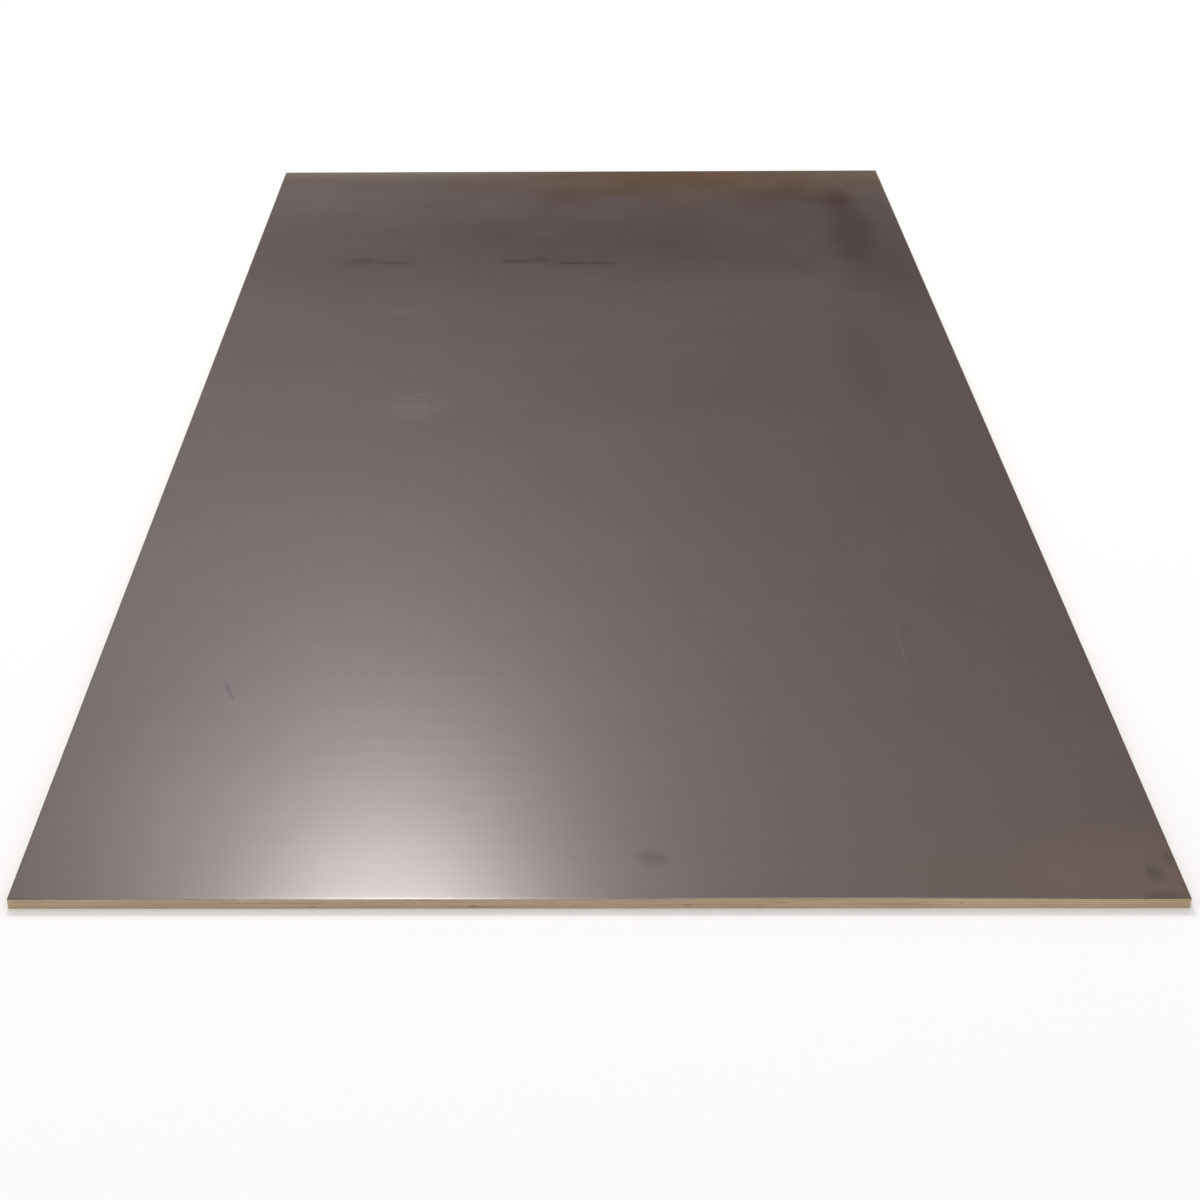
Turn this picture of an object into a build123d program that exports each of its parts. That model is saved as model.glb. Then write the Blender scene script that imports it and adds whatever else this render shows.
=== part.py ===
from build123d import *
import os

# A full-size plywood sheet, lying flat on its underside.
# It is one pressed piece of stock: cross-laid veneers with a thin film bonded to both
# faces, sawn square on all four sides so that the bare veneers show at the edges.
# Lengths are in millimetres. The origin is the middle of the underside, X runs across
# the sheet, Y along it, and +Z up through its thickness.

# Trimmed size of the sheet
sheet_width = 1250.0
sheet_length = 2500.0

# What the thickness is made of: an odd number of veneers and one film on each face
veneer_count = 9
pressed_veneer_thickness = 1.3
film_thickness = 0.15
filmed_faces = 2
sheet_thickness = veneer_count * pressed_veneer_thickness + filmed_faces * film_thickness

# Handling wear: a fine bevel round both faces, and upright corners just off sharp
arris_bevel = 0.3
corner_radius = 1.0

with BuildPart() as plywood_sheet:
    with BuildSketch(Plane.XY) as sheet_outline:
        RectangleRounded(sheet_width, sheet_length, corner_radius)
    extrude(amount=sheet_thickness)

    underside = plywood_sheet.faces().sort_by(Axis.Z)[0]
    top_face = plywood_sheet.faces().sort_by(Axis.Z)[-1]
    chamfer(underside.edges() + top_face.edges(), length=arris_bevel)

plywood_sheet.part.label = "plywood_sheet"

os.makedirs("parts", exist_ok=True)
export_step(plywood_sheet.part, "parts/plywood_sheet.step")
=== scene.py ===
"""A film-faced plywood sheet, dressed for close looking.

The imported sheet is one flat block. This script builds what the eye meets on the real one:
the dark brown film on each face, rolled over and chipped along its rim, and the four sawn
edges with their veneers, glue lines and core gaps in relief. Lengths are in metres, in the
frame of the part: X across the sheet, Y along it, +Z up.
"""
import logging
import math
from dataclasses import dataclass, field
from enum import Enum
from typing import NamedTuple, Sequence

import bpy
import numpy as np
from mathutils import Matrix, Vector


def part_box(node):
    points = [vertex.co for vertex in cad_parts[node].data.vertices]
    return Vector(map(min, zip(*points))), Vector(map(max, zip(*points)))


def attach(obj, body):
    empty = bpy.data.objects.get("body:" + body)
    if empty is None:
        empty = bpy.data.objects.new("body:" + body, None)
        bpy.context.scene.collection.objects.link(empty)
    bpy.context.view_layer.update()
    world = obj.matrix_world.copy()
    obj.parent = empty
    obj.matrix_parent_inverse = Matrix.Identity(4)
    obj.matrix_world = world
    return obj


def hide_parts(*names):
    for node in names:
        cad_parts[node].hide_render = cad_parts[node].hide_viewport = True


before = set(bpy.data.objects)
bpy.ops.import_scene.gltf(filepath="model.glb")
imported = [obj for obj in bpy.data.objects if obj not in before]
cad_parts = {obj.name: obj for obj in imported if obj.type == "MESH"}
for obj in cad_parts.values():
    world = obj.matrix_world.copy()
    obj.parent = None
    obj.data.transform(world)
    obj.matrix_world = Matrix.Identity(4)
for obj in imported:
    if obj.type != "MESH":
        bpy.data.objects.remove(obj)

LOG = logging.getLogger("plywood_sheet")
MM = 0.001
NODE = "plywood_sheet"
BODY = "root"
BAKE_MAP = "OFBake"
EDGE_MAP = "EdgeMap"
CHIP_SEED = 40
CHIP_SEEDS_A_SIDE = 10

# The sockets of both Mix nodes share their names, so they are reached by their numbers
MIX_AMOUNT_IN = 0
MIX_NUMBERS_IN = (2, 3)
MIX_NUMBER_OUT = 0
MIX_COLOURS_IN = (6, 7)
MIX_COLOUR_OUT = 2
MIX_SHADERS_IN = (1, 2)

Colour = tuple[float, float, float]
Socket = bpy.types.NodeSocket
Tree = bpy.types.NodeTree


class Side(Enum):
    """The four sawn sides, in the order met when walking round the sheet anticlockwise."""

    FRONT = 0
    RIGHT = 1
    BACK = 2
    LEFT = 3

    def runs_across(self) -> bool:
        """True for the two short sides, which run across the sheet."""
        return self in (Side.FRONT, Side.BACK)


class Facing(Enum):
    """Which way a filmed face looks."""

    UP = 1
    DOWN = -1


class Layer(Enum):
    """What a row of points on a sawn edge lies in."""

    VENEER = "veneer"
    GLUE = "glue"


class Torn(Enum):
    """How finely the outline of a mark is torn, as tears to a metre."""

    BROAD = 8.0
    MIDDLING = 50.0
    FINE = 150.0


class MarkKind(Enum):
    """The kinds of mark on the film; broad ones also serve as painted reflection and painted sheen."""

    RESIN_STREAK = "resin streak"
    RESIN_BLEED = "resin bleed"
    SCUFF = "scuff"
    SCRATCH = "scratch"
    SMUDGE = "smudge"
    STAIN = "stain"
    RUBBED_RIM = "rubbed rim"


@dataclass(frozen=True)
class SheetSize:
    """Sizes of the sheet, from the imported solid's box and from how it is made up."""

    half_width: float
    half_length: float
    thickness: float
    veneers: int = 9
    film: float = 0.15 * MM
    corner_radius: float = 1.0 * MM

    @classmethod
    def from_frame(cls, node: str) -> "SheetSize":
        """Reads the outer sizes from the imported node.

        Args:
            node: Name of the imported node.

        Returns:
            The sheet's sizes.
        """
        low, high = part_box(node)
        return cls((high.x - low.x) / 2, (high.y - low.y) / 2, high.z - low.z)

    @property
    def veneer(self) -> float:
        """Height of one pressed veneer."""
        return (self.thickness - 2 * self.film) / self.veneers

    def half_side(self, side: Side) -> float:
        """Half the length of a side."""
        return self.half_width if side.runs_across() else self.half_length

    def place(self, side: Side, run: np.ndarray, inset: np.ndarray) -> tuple[np.ndarray, np.ndarray]:
        """Finds the plan position of points along a side, with the corners rounded.

        Args:
            side: The side that the points lie along.
            run: Place along the side, from -1 to 1 going anticlockwise.
            inset: Distance in from the outer face.

        Returns:
            The X and Y of each point.
        """
        half_x, half_y = self.half_width - inset, self.half_length - inset
        x, y = {
            Side.FRONT: (run * half_x, -half_y + 0 * run),
            Side.RIGHT: (half_x + 0 * run, run * half_y),
            Side.BACK: (-run * half_x, half_y + 0 * run),
            Side.LEFT: (-half_x + 0 * run, -run * half_y),
        }[side]
        radius = np.maximum(self.corner_radius - inset, 0.0)
        out_x, out_y = np.abs(x) - (half_x - radius), np.abs(y) - (half_y - radius)
        reach = np.hypot(out_x, out_y)
        in_corner = (out_x > 0) & (out_y > 0) & (reach > 0)
        pull = np.where(in_corner, 1 - radius / np.where(in_corner, reach, 1.0), 0.0)
        return x - np.sign(x) * out_x * pull, y - np.sign(y) * out_y * pull


@dataclass(frozen=True)
class Stations:
    """Places along the sides where the meshes have a column of points."""

    size: SheetSize
    short_cells: int = 100
    fine_per_cell: int = 8
    corner_steps: tuple[float, ...] = (0.25 * MM, 0.55 * MM, 0.9 * MM)
    slack: float = 1e-9

    def cells(self, side: Side) -> int:
        """How many coarse cells a side has."""
        ratio = self.size.half_side(side) / self.size.half_width
        return round(self.short_cells * ratio)

    def along(self, side: Side) -> np.ndarray:
        """Finds the columns of a side, which stand closer together at its ends.

        Args:
            side: The side that they stand along.

        Returns:
            Their distances from the middle of the side, from its start to its end.
        """
        half = self.size.half_side(side)
        even = np.linspace(-half, half, self.cells(side) * self.fine_per_cell + 1)
        steps = np.array(self.corner_steps)
        return np.sort(np.concatenate([even, steps - half, half - steps]))

    def coarse(self, side: Side) -> np.ndarray:
        """Finds which of a side's columns are also corners of the coarse cells.

        Args:
            side: The side that the columns stand along.

        Returns:
            The number of each such column.
        """
        half = self.size.half_side(side)
        wanted = np.linspace(-half, half, self.cells(side) + 1)
        return np.searchsorted(self.along(side), wanted - self.slack)


def wander(places: np.ndarray, pitch: float, rng: np.random.Generator) -> np.ndarray:
    """Draws a smooth random line.

    Args:
        places: Where to read the line.
        pitch: Distance between its bends.
        rng: Seeded source of its heights.

    Returns:
        The line's height at each place, from -1 to 1.
    """
    first = places.min() - pitch
    spare_bends = 4
    heights = rng.uniform(-1, 1, int(np.ptp(places) / pitch) + spare_bends)
    at = (places - first) / pitch
    low = at.astype(int)
    part = at - low
    ease = part * part * (3 - 2 * part)
    return heights[low] * (1 - ease) + heights[low + 1] * ease


@dataclass(frozen=True)
class RimChips:
    """Small breaks along one rim of the film, left by the saw and by handling."""

    seed: int
    spacing: float = 60 * MM
    half_lengths: tuple[float, float] = (0.9 * MM, 2.8 * MM)
    depths: tuple[float, float] = (0.1 * MM, 0.45 * MM)
    shares_of_depth: tuple[float, float] = (0.3, 1.0)
    clear_of_corner: float = 8 * MM

    def depth_at(self, along: np.ndarray) -> np.ndarray:
        """Finds how far the rim has broken back.

        Args:
            along: Distances from the middle of the side.

        Returns:
            The depth of the break at each distance.
        """
        rng = np.random.default_rng(self.seed)
        reach = along.max() - self.clear_of_corner
        broken = np.zeros_like(along)
        for _ in range(int(2 * reach / self.spacing)):
            centre = rng.uniform(-reach, reach)
            half_length = rng.uniform(*self.half_lengths)
            depth = rng.uniform(*self.depths) * rng.uniform(*self.shares_of_depth)
            bite = np.clip(1 - ((along - centre) / half_length) ** 2, 0, 1)
            broken = np.maximum(broken, depth * np.sqrt(bite))
        return broken


def rim_chips(facing: Facing, side: Side) -> RimChips:
    """The chips that a film and the sawn edge beside it share."""
    return RimChips(seed=CHIP_SEED + CHIP_SEEDS_A_SIDE * side.value + facing.value)


class NodeBoard:
    """Adds and joins shader nodes in one node tree."""

    def __init__(self, tree: Tree) -> None:
        """Starts on a node tree."""
        self.tree = tree

    def add(self, kind: str, **settings: object) -> bpy.types.Node:
        """Adds a node.

        Args:
            kind: The node's type.
            **settings: Values for the node's own settings.

        Returns:
            The new node.
        """
        node = self.tree.nodes.new(kind)
        for name, value in settings.items():
            setattr(node, name, value)
        return node

    def feed(self, socket: Socket, value: object) -> None:
        """Joins an input to another node's output, or sets its plain value.

        Args:
            socket: The input.
            value: The output that feeds it, or its plain value.
        """
        if isinstance(value, bpy.types.NodeSocket):
            self.tree.links.new(value, socket)
        else:
            socket.default_value = value

    def sum(self, operation: str, *values: object, clamp: bool = False) -> Socket:
        """Works out a number.

        Args:
            operation: Which sum it does.
            *values: Sockets or plain numbers.
            clamp: Keeps the result from 0 to 1.

        Returns:
            The result.
        """
        node = self.add("ShaderNodeMath", operation=operation, use_clamp=clamp)
        for socket, value in zip(node.inputs, values):
            self.feed(socket, value)
        return node.outputs[0]

    def share(self, value: Socket, share: object) -> Socket:
        """A share of a value."""
        return self.sum("MULTIPLY", value, share)

    def plus_share(self, start: object, value: Socket, share: object) -> Socket:
        """A starting value with a share of another one added to it."""
        return self.sum("ADD", start, self.share(value, share))

    def vector_sum(self, operation: str, *values: object) -> Socket:
        """Works out a vector.

        Args:
            operation: Which sum it does.
            *values: Sockets or plain vectors.

        Returns:
            The result, which is a number for a length.
        """
        node = self.add("ShaderNodeVectorMath", operation=operation)
        for socket, value in zip(node.inputs, values):
            self.feed(socket, value)
        return node.outputs["Value" if operation == "LENGTH" else "Vector"]

    def noise(self, place: Socket, scale: object, detail: float = 2.0, roughness: float = 0.5) -> Socket:
        """Reads a cloudy noise.

        Args:
            place: Where to read it.
            scale: How many clouds there are to a metre.
            detail: How many finer layers it has.
            roughness: How strong the finer layers are.

        Returns:
            A value about 0.5.
        """
        node = self.add("ShaderNodeTexNoise", noise_dimensions="3D")
        self.feed(node.inputs["Vector"], place)
        self.feed(node.inputs["Scale"], scale)
        self.feed(node.inputs["Detail"], detail)
        self.feed(node.inputs["Roughness"], roughness)
        return node.outputs["Fac"]

    def ease(self, value: Socket, low: object, high: object, start: float = 0.0, end: float = 1.0) -> Socket:
        """Turns a range of values into a smooth step.

        Args:
            value: What is read.
            low: The value at which the step starts.
            high: The value at which it ends.
            start: The result before the step.
            end: The result after it.

        Returns:
            The eased value.
        """
        node = self.add("ShaderNodeMapRange", interpolation_type="SMOOTHSTEP")
        for name, part in (("Value", value), ("From Min", low), ("From Max", high)):
            self.feed(node.inputs[name], part)
        self.feed(node.inputs["To Min"], start)
        self.feed(node.inputs["To Max"], end)
        return node.outputs["Result"]

    def blend(self, amount: object, below: object, above: object, mode: str = "MIX") -> Socket:
        """Mixes two colours.

        Args:
            amount: From 0, all of the first, to 1, all of the second.
            below: A colour or a socket.
            above: A colour or a socket.
            mode: Which kind of mix it does.

        Returns:
            The mixed colour.
        """
        node = self.add("ShaderNodeMix", data_type="RGBA", blend_type=mode)
        self.feed(node.inputs[MIX_AMOUNT_IN], amount)
        for number, colour in zip(MIX_COLOURS_IN, (below, above)):
            self.feed(node.inputs[number], (*colour, 1.0) if isinstance(colour, tuple) else colour)
        return node.outputs[MIX_COLOUR_OUT]

    def tint(self, colour: Socket, mask: Socket, share: float, towards: Colour) -> Socket:
        """A colour turned towards another by a share of a mask."""
        return self.blend(self.share(mask, share), colour, towards)

    def between(self, amount: object, low: Socket, high: Socket) -> Socket:
        """Mixes two numbers.

        Args:
            amount: From 0, all of the first, to 1, all of the second.
            low: The first number.
            high: The second number.

        Returns:
            The mixed number.
        """
        node = self.add("ShaderNodeMix", data_type="FLOAT")
        self.feed(node.inputs[MIX_AMOUNT_IN], amount)
        for number, value in zip(MIX_NUMBERS_IN, (low, high)):
            self.feed(node.inputs[number], value)
        return node.outputs[MIX_NUMBER_OUT]

    def use(self, group: Tree, **inputs: object) -> bpy.types.Node:
        """Places a node group.

        Args:
            group: The group's node tree.
            **inputs: Its inputs by name, with an underscore for each space.

        Returns:
            The placed group.
        """
        node = self.add("ShaderNodeGroup", node_tree=group)
        for name, value in inputs.items():
            self.feed(node.inputs[name.replace("_", " ")], value)
        return node

    def largest(self, values: Sequence[Socket]) -> Socket:
        """Finds the largest of several values.

        Args:
            values: The values.

        Returns:
            The largest one at each place.
        """
        result = values[0]
        for value in values[1:]:
            result = self.sum("MAXIMUM", result, value)
        return result


class MaterialBoard(NodeBoard):
    """The nodes of one material, around its Principled shader."""

    def __init__(self, name: str) -> None:
        """Makes an empty material with a Principled shader.

        Args:
            name: The material's name.
        """
        self.material = bpy.data.materials.new(name)
        self.material.use_nodes = True
        super().__init__(self.material.node_tree)
        self.tree.nodes.clear()
        self.shader = self.add("ShaderNodeBsdfPrincipled")
        self.output = self.add("ShaderNodeOutputMaterial")
        self.feed(self.output.inputs["Surface"], self.shader.outputs["BSDF"])

    def place(self) -> Socket:
        """Place on the sheet, in metres from its origin."""
        return self.add("ShaderNodeTexCoord").outputs["Object"]

    def edge_place(self) -> Socket:
        """Place on a sawn edge: metres along it, then metres up it."""
        return self.add("ShaderNodeUVMap", uv_map=EDGE_MAP).outputs["UV"]

    def finish(self, colour: Socket, roughness: Socket, height: Socket, relief: float) -> None:
        """Joins the finished colour, roughness and fine relief to the shader.

        Args:
            colour: The surface's colour.
            roughness: Its roughness.
            height: Its fine relief, about 0.5.
            relief: How high that relief stands, in metres.
        """
        bump = self.add("ShaderNodeBump")
        bump.inputs["Strength"].default_value = 1.0
        bump.inputs["Distance"].default_value = relief
        self.feed(bump.inputs["Height"], height)
        self.feed(self.shader.inputs["Base Color"], colour)
        self.feed(self.shader.inputs["Roughness"], roughness)
        self.feed(self.shader.inputs["Normal"], bump.outputs["Normal"])


class GroupBoard(NodeBoard):
    """The nodes of one shared effect, with named inputs and outputs."""

    def __init__(self, name: str) -> None:
        """Makes an empty node group.

        Args:
            name: The group's name.
        """
        super().__init__(bpy.data.node_groups.new(name, "ShaderNodeTree"))
        self.entry = self.add("NodeGroupInput")
        self.exit = self.add("NodeGroupOutput")

    def take(self, name: str, start: float | None = None) -> Socket:
        """Adds an input.

        Args:
            name: The input's name.
            start: Its value when nothing feeds it, or None for a vector.

        Returns:
            The input, as a socket inside the group.
        """
        kind = "NodeSocketVector" if start is None else "NodeSocketFloat"
        made = self.tree.interface.new_socket(name=name, in_out="INPUT", socket_type=kind)
        if start is not None:
            made.default_value = start
        return self.entry.outputs[name]

    def give(self, name: str, value: Socket) -> None:
        """Adds a number as an output."""
        self.tree.interface.new_socket(name=name, in_out="OUTPUT", socket_type="NodeSocketFloat")
        self.feed(self.exit.inputs[name], value)


def fibre_streaks() -> Tree:
    """Builds long wood fibres that run along the first axis of their place.

    Returns:
        A group that gives their shade and height, both about 0.5.
    """
    board = GroupBoard("fibre_streaks")
    place = board.take("Place")
    run = board.take("Streaks along", 3.0)
    across = board.take("Streaks across", 60.0)
    fine = board.take("Fine share", 0.4)
    stretch = board.add("ShaderNodeCombineXYZ")
    board.feed(stretch.inputs["X"], run)
    board.feed(stretch.inputs["Y"], across)
    board.feed(stretch.inputs["Z"], across)
    stretched = board.vector_sum("MULTIPLY", place, stretch.outputs["Vector"])
    broad = board.noise(stretched, scale=1.0, detail=3.0, roughness=0.55)
    thin = board.noise(stretched, scale=5.3, detail=3.0, roughness=0.6)
    board.give("Shade", board.between(fine, broad, thin))
    board.give("Height", thin)
    return board.tree


def soft_mark() -> Tree:
    """Builds one oval mark with a ragged, soft outline.

    Returns:
        A group that gives the mark's mask, from 0 outside to 1 inside.
    """
    board = GroupBoard("soft_mark")
    place = board.take("Place")
    centre = board.take("Centre")
    half_size = board.take("Half size")
    turn = board.take("Turn", 0.0)
    softness = board.take("Softness", 0.5)
    ragged = board.take("Ragged", 0.3)
    torn = board.take("Torn", 0.5)
    from_centre = board.vector_sum("SUBTRACT", place, centre)
    turned = board.add("ShaderNodeVectorRotate", rotation_type="Z_AXIS", invert=True)
    board.feed(turned.inputs["Vector"], from_centre)
    board.feed(turned.inputs["Angle"], turn)
    scaled = board.vector_sum("DIVIDE", turned.outputs["Vector"], half_size)
    flat = board.vector_sum("MULTIPLY", scaled, (1.0, 1.0, 0.0))
    distance = board.vector_sum("LENGTH", flat)
    shift = board.share(board.sum("SUBTRACT", torn, 0.5), ragged)
    edge = board.plus_share(distance, shift, 2.0)
    inner = board.sum("SUBTRACT", 1.0, softness)
    board.give("Mask", board.ease(edge, inner, 1.0, start=1.0, end=0.0))
    return board.tree


def rim_wear() -> Tree:
    """Builds wear that fades in from the outline of a face.

    Returns:
        A group that gives a mask, from 0 away from the outline to about 1 on it.
    """
    board = GroupBoard("rim_wear")
    place = board.take("Place")
    half_size = board.take("Half size")
    reach = board.take("Reach", 2 * MM)
    patches = board.take("Patches", 30.0)
    away = board.vector_sum("SUBTRACT", half_size, board.vector_sum("ABSOLUTE", place))
    parts = board.add("ShaderNodeSeparateXYZ")
    board.feed(parts.inputs["Vector"], away)
    distance = board.sum("MINIMUM", parts.outputs["X"], parts.outputs["Y"])
    patchy = board.noise(place, patches, detail=2.0, roughness=0.6)
    least_reach = 0.1 * MM
    far = board.plus_share(least_reach, board.ease(patchy, low=0.35, high=0.7), reach)
    board.give("Mask", board.ease(distance, 0.0, far, start=1.0, end=0.0))
    return board.tree


def dust_veil() -> Tree:
    """Builds a thin uneven veil of dust and dried wipe marks.

    Returns:
        A group that gives how much dust lies at each place, from 0 to 1.
    """
    board = GroupBoard("dust_veil")
    place = board.take("Place")
    patches = board.take("Patches", 4.0)
    grains = board.take("Grains", 700.0)
    veil = board.noise(place, patches, detail=3.0, roughness=0.6)
    grain = board.noise(place, grains, detail=1.0, roughness=0.5)
    lying = board.ease(veil, low=0.42, high=0.72)
    specks = board.ease(grain, low=0.45, high=0.75)
    specked_share = 0.6
    mixed = board.plus_share(1 - specked_share, specks, specked_share)
    board.give("Dust", board.sum("MULTIPLY", lying, mixed, clamp=True))
    return board.tree


def saw_marks() -> Tree:
    """Builds the slanting ripple that a circular saw leaves on a cut edge.

    Returns:
        A group that gives the ripple's height, from 0 to 1.
    """
    board = GroupBoard("saw_marks")
    place = board.take("Place")
    pitch = board.take("Marks to a metre", 520.0)
    lean = board.take("Lean", 0.35)
    parts = board.add("ShaderNodeSeparateXYZ")
    board.feed(parts.inputs["Vector"], place)
    drift = board.noise(place, scale=14.0, detail=1.0)
    drift_in_turns = 3.0
    run = board.plus_share(parts.outputs["X"], parts.outputs["Y"], lean)
    turns = board.plus_share(board.share(run, pitch), drift, drift_in_turns)
    wave = board.sum("SINE", board.share(turns, 2 * math.pi))
    board.give("Height", board.plus_share(0.5, wave, 0.5))
    return board.tree


@dataclass(frozen=True)
class Effects:
    """The node groups that several finishes share, each built once."""

    fibre: Tree = field(default_factory=fibre_streaks)
    mark: Tree = field(default_factory=soft_mark)
    rim: Tree = field(default_factory=rim_wear)
    dust: Tree = field(default_factory=dust_veil)
    saw: Tree = field(default_factory=saw_marks)


@dataclass(frozen=True)
class Outline:
    """How soft and how ragged the outline of a mark is."""

    softness: float
    ragged: float
    torn: Torn = Torn.FINE


@dataclass(frozen=True)
class Mark:
    """One mark on the film, with its centre across and along from the front left corner."""

    kind: MarkKind
    centre: tuple[float, float]
    half_size: tuple[float, float]
    strength: float
    outline: Outline
    turn: float = 0.0


@dataclass(frozen=True)
class MarkTint:
    """What a kind of mark does to the film under it."""

    colour: Colour
    roughness: float


# The dark and amber tints also colour broad marks of painted reflection on the far part of the top film, and
# the pale tint broad patches of painted sheen.
MARK_TINTS = {
    MarkKind.RESIN_BLEED: MarkTint((0.102, 0.046, 0.006), 0.18),
    MarkKind.RESIN_STREAK: MarkTint((0.026, 0.008, 0.008), 0.15),
    MarkKind.SCUFF: MarkTint((0.160, 0.130, 0.124), 0.36),
    MarkKind.SCRATCH: MarkTint((0.024, 0.006, 0.006), 0.20),
    MarkKind.SMUDGE: MarkTint((0.030, 0.009, 0.006), 0.19),
    MarkKind.STAIN: MarkTint((0.040, 0.018, 0.006), 0.34),
    MarkKind.RUBBED_RIM: MarkTint((0.300, 0.235, 0.180), 0.60),
}


@dataclass(frozen=True)
class FilmFinish:
    """Dark brown pressed film: satin, faintly clouded, with the veneer's grain showing through."""

    name: str
    brown: Colour = (0.046, 0.0212, 0.0195)
    pale_brown: Colour = (0.056, 0.0265, 0.0245)
    bare_fibre: Colour = (0.190, 0.145, 0.105)
    dust: Colour = (0.230, 0.205, 0.180)
    fleck: Colour = (0.022, 0.011, 0.010)
    roughness: float = 0.255
    roughness_spread: float = 0.005
    clouds: float = 2.6
    cloud_share: float = 0.60
    streaks_along: float = 1.6
    streaks_across: float = 42.0
    fine_share: float = 0.25
    dust_share: float = 0.025
    dust_roughness: float = 0.006
    fleck_share: float = 0.12
    rim_reach: float = 1.2 * MM
    rim_share: float = 0.6
    rim_roughness: float = 0.25
    pores: tuple[float, float, float] = (30.0, 620.0, 1.0)
    pore_share: float = 0.22
    relief: float = 0.008 * MM

    def make(self, effects: Effects, size: SheetSize, marks: Sequence[Mark]) -> bpy.types.Material:
        """Builds the film's material.

        Args:
            effects: The shared node groups.
            size: The sheet's sizes.
            marks: The marks on this face.

        Returns:
            The finished material.
        """
        board = MaterialBoard(self.name)
        place = board.place()
        grain = board.use(
            effects.fibre,
            Place=place,
            Streaks_along=self.streaks_along,
            Streaks_across=self.streaks_across,
            Fine_share=self.fine_share,
        )
        streaks = grain.outputs["Shade"]
        cloud = board.noise(place, scale=self.clouds, detail=3.0)
        shade = board.plus_share(board.share(cloud, self.cloud_share), streaks, 1 - self.cloud_share)
        colour = board.blend(board.ease(shade, low=0.3, high=0.7), self.brown, self.pale_brown)
        smooth, rougher = self.roughness - self.roughness_spread, self.roughness + self.roughness_spread
        rough = board.ease(streaks, low=0.25, high=0.75, start=smooth, end=rougher)

        dust = board.use(effects.dust, Place=place).outputs["Dust"]
        colour = board.tint(colour, dust, self.dust_share, self.dust)
        rough = board.plus_share(rough, dust, self.dust_roughness)
        tears = {torn: board.noise(place, torn.value, detail=2.0, roughness=0.65) for torn in Torn}
        fleck = board.ease(tears[Torn.FINE], low=0.62, high=0.76)
        colour = board.tint(colour, fleck, self.fleck_share, self.fleck)

        # Broad marks among these put painted reflection and painted sheen into the film's colour.
        for kind, tint in MARK_TINTS.items():
            alike = [mark for mark in marks if mark.kind is kind]
            if alike:
                masks = [self._mask(board, effects, size, place, tears, mark) for mark in alike]
                mask = board.largest(masks)
                colour = board.blend(mask, colour, tint.colour)
                rough = board.plus_share(rough, mask, tint.roughness - self.roughness)

        half_size = (size.half_width, size.half_length, size.thickness)
        wear = board.use(effects.rim, Place=place, Half_size=half_size, Reach=self.rim_reach)
        worn = board.share(wear.outputs["Mask"], self.rim_share)
        colour = board.blend(worn, colour, self.bare_fibre)
        rough = board.plus_share(rough, worn, self.rim_roughness)

        pores = board.noise(board.vector_sum("MULTIPLY", place, self.pores), scale=1.0, detail=1.0)
        height = board.plus_share(grain.outputs["Height"], pores, self.pore_share)
        board.finish(colour, rough, height, self.relief)
        return board.material

    @staticmethod
    def _mask(
        board: NodeBoard,
        effects: Effects,
        size: SheetSize,
        place: Socket,
        tears: dict[Torn, Socket],
        mark: Mark,
    ) -> Socket:
        """Places one mark on the film.

        Args:
            board: The film's nodes.
            effects: The shared node groups.
            size: The sheet's sizes.
            place: Place on the sheet.
            tears: The noise that tears each fineness of outline.
            mark: The mark to place.

        Returns:
            The mark's mask, times its strength.
        """
        across, along = mark.centre
        placed = board.use(
            effects.mark,
            Place=place,
            Centre=(across - size.half_width, along - size.half_length, 0.0),
            Half_size=(*mark.half_size, 1.0),
            Turn=mark.turn,
            Softness=mark.outline.softness,
            Ragged=mark.outline.ragged,
            Torn=tears[mark.outline.torn],
        )
        return board.share(placed.outputs["Mask"], mark.strength)


@dataclass(frozen=True)
class VeneerFinish:
    """Bare sawn birch veneer on an edge, cut along its grain or across it."""

    name: str
    pale: Colour
    dark: Colour
    streak: Colour
    streaks_along: float
    streaks_across: float
    fine_share: float = 0.45
    stains: tuple[float, float, float] = (7.0, 260.0, 1.0)
    stain_share: float = 0.55
    drift: float = 3.5
    drift_levels: tuple[float, float] = (0.86, 1.08)
    dust: Colour = (0.42, 0.37, 0.31)
    dust_share: float = 0.15
    dust_patches: float = 9.0
    dust_grains: float = 1500.0
    roughness: float = 0.78
    roughness_spread: float = 0.06
    fibre_relief: float = 0.7
    saw_relief: float = 0.3
    relief: float = 0.12 * MM

    def make(self, effects: Effects) -> bpy.types.Material:
        """Builds the veneer's material.

        Args:
            effects: The shared node groups.

        Returns:
            The finished material.
        """
        board = MaterialBoard(self.name)
        place = board.edge_place()
        fibre = board.use(
            effects.fibre,
            Place=place,
            Streaks_along=self.streaks_along,
            Streaks_across=self.streaks_across,
            Fine_share=self.fine_share,
        )
        shade = board.ease(fibre.outputs["Shade"], low=0.3, high=0.7)
        colour = board.blend(shade, self.dark, self.pale)
        stains = board.noise(board.vector_sum("MULTIPLY", place, self.stains), scale=1.0, detail=3.0)
        colour = board.tint(colour, board.ease(stains, low=0.52, high=0.72), self.stain_share, self.streak)
        drift = board.noise(place, scale=self.drift, detail=2.0)
        dim, bright = self.drift_levels
        level = board.ease(drift, low=0.3, high=0.7, start=dim, end=bright)
        colour = board.blend(1.0, colour, level, mode="MULTIPLY")
        dust = board.use(effects.dust, Place=place, Patches=self.dust_patches, Grains=self.dust_grains)
        colour = board.tint(colour, dust.outputs["Dust"], self.dust_share, self.dust)
        rougher, smooth = self.roughness + self.roughness_spread, self.roughness - self.roughness_spread
        rough = board.ease(fibre.outputs["Shade"], low=0.3, high=0.7, start=rougher, end=smooth)
        saw = board.use(effects.saw, Place=place)
        sawn = board.share(saw.outputs["Height"], self.saw_relief)
        height = board.plus_share(sawn, fibre.outputs["Height"], self.fibre_relief)
        board.finish(colour, rough, height, self.relief)
        return board.material


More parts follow.
